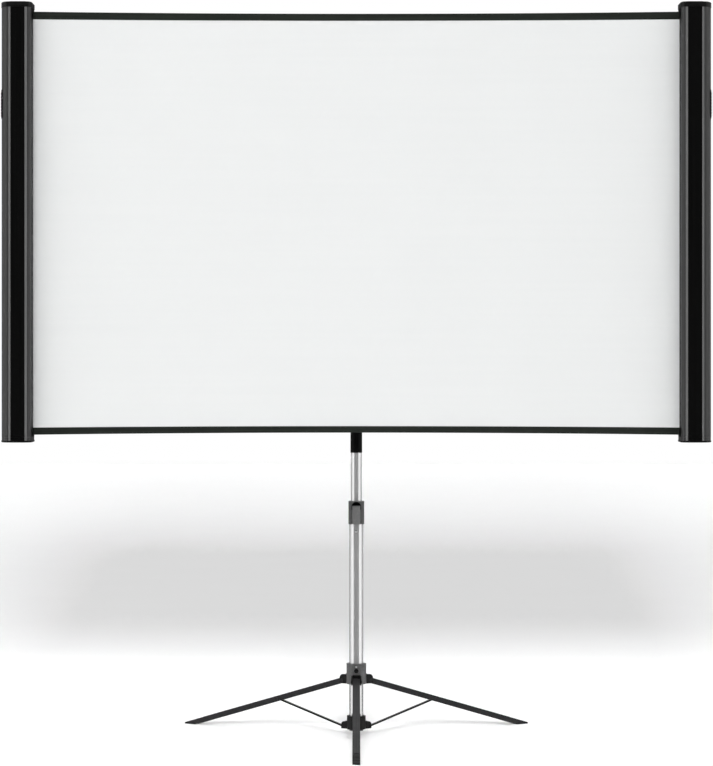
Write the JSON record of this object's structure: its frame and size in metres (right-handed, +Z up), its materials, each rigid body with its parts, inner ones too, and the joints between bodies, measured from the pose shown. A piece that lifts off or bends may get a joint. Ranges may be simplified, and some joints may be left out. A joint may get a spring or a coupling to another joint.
{
  "type": "projection screen",
  "caption": "Portable projection screen: white sheet with black borders between two upright roller cases on telescopic arms, on a clamped mast with a folding tripod.",
  "frame": {"origin": "on the floor, under the middle of the object's bounding box", "axes": "+X to the viewer's right along the screen's width, -Y towards the viewer, +Z up"},
  "size_m": [1.736, 0.7532, 1.7945],
  "materials": {
    "case_alloy": "satin black anodised extrusion",
    "gloss_black": "polished black insert",
    "cap_plastic": "fine-textured black moulding",
    "sheet_white": "matt white projection surface",
    "border_black": "matt black border",
    "satin_alloy": "satin anodised tube",
    "black_tube": "black powder coat",
    "hub_plastic": "dark moulded hub",
    "collar_plastic": "dark grey moulding",
    "lever_plastic": "grey moulding",
    "leg_steel": "dark grey powder coat",
    "rubber_black": "black rubber",
    "plated_steel": "plated steel"
  },
  "bodies": {
    "stand": {"lower_tube": "satin_alloy", "tube_plug": "hub_plastic", "base_hub": "hub_plastic", "lock_collar": "collar_plastic", "collar_bush": "cap_plastic", "stop_rivet": "plated_steel"},
    "lever": {"lock_lever": "lever_plastic"},
    "mast": {"upper_tube": "satin_alloy"},
    "screen_frame": {"mast_socket": "black_tube", "lower_sleeve": "black_tube", "upper_sleeve": "black_tube", "screen_sheet": "sheet_white", "top_border": "border_black", "bottom_border": "border_black"},
    "leg_hub": {"leg_hub": "hub_plastic", "front_leg_pin": "leg_steel", "right_leg_pin": "leg_steel", "left_leg_pin": "leg_steel"},
    "hub_screw": {"hub_lock_screw": "hub_plastic"},
    "front_stay": {"front_stay": "leg_steel"},
    "front_leg": {"front_leg": "leg_steel", "front_foot_cap": "rubber_black", "front_stay_rivet": "leg_steel"},
    "right_stay": {"right_stay": "leg_steel"},
    "right_leg": {"right_leg": "leg_steel", "right_foot_cap": "rubber_black", "right_stay_rivet": "leg_steel"},
    "left_stay": {"left_stay": "leg_steel"},
    "left_leg": {"left_leg": "leg_steel", "left_foot_cap": "rubber_black", "left_stay_rivet": "leg_steel"},
    "left_middle_arms": {"left_lower_middle_tube": "satin_alloy", "left_upper_middle_tube": "satin_alloy"},
    "left_case_group": {"left_case": "case_alloy", "left_trim_strip": "gloss_black", "left_case_grip": "cap_plastic", "left_top_cap": "cap_plastic", "left_bottom_cap": "cap_plastic", "left_lower_end_tube": "satin_alloy", "left_upper_end_tube": "satin_alloy", "left_roller_shaft": "plated_steel", "left_roller_spring": "plated_steel"},
    "left_roller": {"left_roller_tube": "satin_alloy", "left_wound_sheet": "sheet_white"},
    "left_knob": {"left_arm_knob": "cap_plastic"},
    "right_middle_arms": {"right_lower_middle_tube": "satin_alloy", "right_upper_middle_tube": "satin_alloy"},
    "right_case_group": {"right_case": "case_alloy", "right_trim_strip": "gloss_black", "right_case_grip": "cap_plastic", "right_top_cap": "cap_plastic", "right_bottom_cap": "cap_plastic", "right_lower_end_tube": "satin_alloy", "right_upper_end_tube": "satin_alloy", "right_roller_shaft": "plated_steel", "right_roller_spring": "plated_steel"},
    "right_roller": {"right_roller_tube": "satin_alloy", "right_wound_sheet": "sheet_white"},
    "right_knob": {"right_arm_knob": "cap_plastic"}
  },
  "joints": [
    {"name": "mast_height", "type": "slide", "parent": "stand", "child": "mast", "axis": [0, 0, 1], "range_m": [-0.1, 0.3]},
    {"name": "screen_turn", "type": "hinge", "parent": "mast", "child": "screen_frame", "pos_m": [0, 0.12035, 0.6953], "axis": [0, 0, 1], "continuous": true},
    {"name": "lever_flip", "type": "hinge", "parent": "stand", "child": "lever", "pos_m": [0, 0.09335, 0.5606], "axis": [-1, 0, 0], "range_deg": [0, 105]},
    {"name": "leg_fold", "type": "hinge", "parent": "stand", "child": "front_stay", "pos_m": [0, 0.08585, 0.022], "axis": [-1, 0, 0], "range_deg": [0, 69]},
    {"name": "front_leg_hinge", "type": "hinge", "parent": "front_stay", "child": "front_leg", "pos_m": [0, -0.10398, 0.0793], "axis": [-1, 0, 0], "range_deg": [-139, 0]},
    {"name": "right_stay_hinge", "type": "hinge", "parent": "stand", "child": "right_stay", "pos_m": [0.02988, 0.1376, 0.022], "axis": [0.5, -0.866, 0], "range_deg": [0, 69.5]},
    {"name": "right_leg_hinge", "type": "hinge", "parent": "right_stay", "child": "right_leg", "pos_m": [0.19428, 0.23252, 0.0793], "axis": [0.5, -0.866, 0], "range_deg": [-139, 0]},
    {"name": "left_stay_hinge", "type": "hinge", "parent": "stand", "child": "left_stay", "pos_m": [-0.02988, 0.1376, 0.022], "axis": [0.5, 0.866, 0], "range_deg": [0, 69.5]},
    {"name": "left_leg_hinge", "type": "hinge", "parent": "left_stay", "child": "left_leg", "pos_m": [-0.19428, 0.23252, 0.0793], "axis": [0.5, 0.866, 0], "range_deg": [-139, 0]},
    {"name": "hub_hinge", "type": "hinge", "parent": "front_leg", "child": "leg_hub", "pos_m": [0, 0.08585, 0.1366], "axis": [-1, 0, 0], "range_deg": [0, 69.5]},
    {"name": "hub_screw_turn", "type": "hinge", "parent": "leg_hub", "child": "hub_screw", "pos_m": [0, 0.0961, 0.163], "axis": [0, -1, 0], "range_deg": [0, 270]},
    {"name": "screen_width", "type": "slide", "parent": "screen_frame", "child": "left_middle_arms", "axis": [1, 0, 0], "range_m": [0, 0.226], "deforming": ["screen_sheet", "top_border", "bottom_border"]},
    {"name": "left_case_slide", "type": "slide", "parent": "left_middle_arms", "child": "left_case_group", "axis": [1, 0, 0], "range_m": [0, 0.2265]},
    {"name": "left_roller_turn", "type": "hinge", "parent": "left_case_group", "child": "left_roller", "pos_m": [-0.82825, 0.0878, 0.735], "axis": [0, 0, 1], "range_deg": [0, 1548.1]},
    {"name": "left_knob_turn", "type": "hinge", "parent": "screen_frame", "child": "left_knob", "pos_m": [-0.285, 0.12135, 0.7581], "axis": [0, 1, 0], "range_deg": [0, 270]},
    {"name": "right_middle_slide", "type": "slide", "parent": "screen_frame", "child": "right_middle_arms", "axis": [-1, 0, 0], "range_m": [0, 0.2265]},
    {"name": "right_case_slide", "type": "slide", "parent": "right_middle_arms", "child": "right_case_group", "axis": [-1, 0, 0], "range_m": [0, 0.2265]},
    {"name": "right_roller_turn", "type": "hinge", "parent": "right_case_group", "child": "right_roller", "pos_m": [0.82825, 0.0878, 0.735], "axis": [0, 0, 1], "range_deg": [-1548.1, 0]},
    {"name": "right_knob_turn", "type": "hinge", "parent": "screen_frame", "child": "right_knob", "pos_m": [0.285, 0.12135, 0.7581], "axis": [0, 1, 0], "range_deg": [0, 270]}
  ],
  "couplings": [
    {"joint": "front_leg_hinge", "follows": "leg_fold", "ratio": -2},
    {"joint": "right_stay_hinge", "follows": "leg_fold", "ratio": 1},
    {"joint": "right_leg_hinge", "follows": "leg_fold", "ratio": -2},
    {"joint": "left_stay_hinge", "follows": "leg_fold", "ratio": 1},
    {"joint": "left_leg_hinge", "follows": "leg_fold", "ratio": -2},
    {"joint": "hub_hinge", "follows": "leg_fold", "ratio": 1},
    {"joint": "left_case_slide", "follows": "screen_width", "ratio": 1},
    {"joint": "left_roller_turn", "follows": "screen_width", "rad_per_m": 119.4},
    {"joint": "right_middle_slide", "follows": "screen_width", "ratio": 1},
    {"joint": "right_case_slide", "follows": "screen_width", "ratio": 1},
    {"joint": "right_roller_turn", "follows": "screen_width", "rad_per_m": -119.4}
  ]
}
